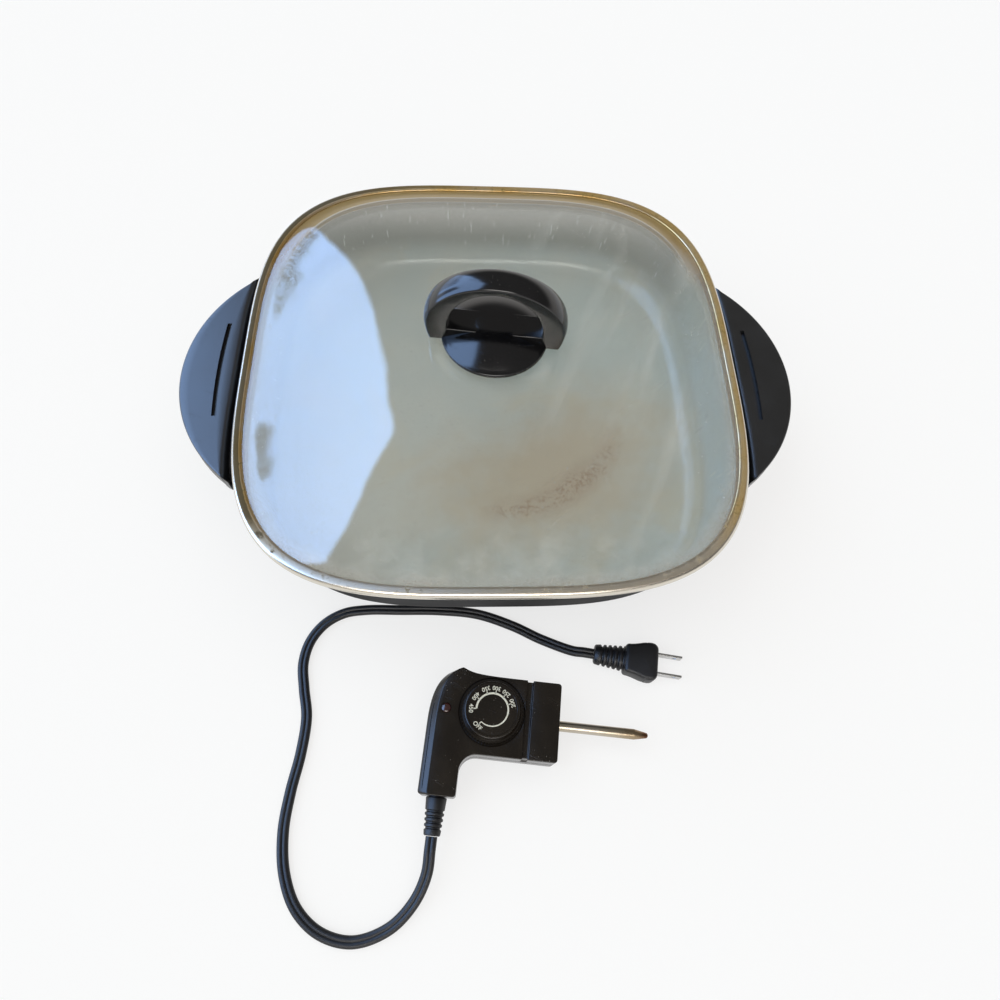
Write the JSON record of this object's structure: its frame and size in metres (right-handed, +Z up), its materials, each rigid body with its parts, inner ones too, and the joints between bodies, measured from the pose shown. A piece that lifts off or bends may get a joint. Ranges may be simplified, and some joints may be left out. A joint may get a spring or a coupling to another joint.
{
  "type": "electric skillet",
  "caption": "Square electric skillet with a lift-off domed glass lid, crescent side handles on legs and a loose plug-in heat control with a turning dial and a short corded plug.",
  "frame": {"origin": "middle of the base of the skillet and its loose heat control together, on the surface that they stand on; the pan's own middle is 61 mm further back", "axes": "+Z up, +Y away from the user, +X to the user's right, where the control plugs in"},
  "size_m": [0.4196, 0.5083, 0.1649],
  "materials": {
    "pan": "grey-green ceramic coating inside, satin black outside",
    "sheath": "oxidised",
    "ceramic": "fired ceramic",
    "steel": "plated",
    "phenolic": "satin moulded",
    "gloss_phenolic": "glossy moulded",
    "lid_glass": "clear tempered",
    "stained_steel": "rolled, stained gold brown",
    "heat_tinted_steel": "heat tinted",
    "brass": "sprung strip",
    "silicone": "matt",
    "lens": "dark translucent",
    "cord_rubber": "satin flexible"
  },
  "bodies": {
    "skillet": {"pan": "pan", "heating_element": "sheath", "insulator_front": "ceramic", "insulator_back": "ceramic", "terminal_pin_front": "steel", "terminal_pin_back": "steel", "socket_guard": "phenolic", "socket_screw_front": "steel", "socket_screw_back": "steel", "right_handle": "phenolic", "left_handle": "phenolic", "right_leg_screw_front": "steel", "right_leg_screw_back": "steel", "left_leg_screw_front": "steel", "left_leg_screw_back": "steel"},
    "lid": {"lid_glass": "lid_glass", "lid_rim": "stained_steel", "lid_handle": "gloss_phenolic", "lid_handle_gasket": "silicone", "lid_handle_washer": "steel", "lid_handle_screw": "steel"},
    "control": {"housing_top": "gloss_phenolic", "housing_bottom": "gloss_phenolic", "housing_screw_head_back": "steel", "housing_screw_head_front": "steel", "housing_screw_elbow": "steel", "probe_tube": "heat_tinted_steel", "probe_rod": "steel", "probe_collar": "steel", "socket_contact_front": "brass", "socket_contact_back": "brass", "thermostat_base": "ceramic", "contact_post": "steel", "bimetal_blade": "steel", "contact_leaf": "brass", "pilot_lens": "lens", "pilot_lamp": "lens", "pilot_resistor": "ceramic", "cord_clamp": "phenolic", "live_lead": "cord_rubber", "neutral_lead": "cord_rubber", "strain_relief": "cord_rubber", "dial_clip": "steel", "plug_body": "cord_rubber", "plug_blade_front": "steel", "plug_blade_back": "steel", "cord": "cord_rubber"},
    "dial": {"dial": "gloss_phenolic", "dial_shaft": "steel"}
  },
  "joints": [
    {"name": "lid_lift", "type": "slide", "parent": "skillet", "child": "lid", "axis": [0, 0, 1], "range_m": [0, 0.12]},
    {"name": "control_slide", "type": "slide", "parent": "skillet", "child": "control", "axis": [0, -1, 0], "range_m": [0, 0.15]},
    {"name": "dial_turn", "type": "hinge", "parent": "control", "child": "dial", "pos_m": [-0.0025, -0.15749, 0.028], "axis": [0, 0, 1], "range_deg": [0, 309]}
  ]
}
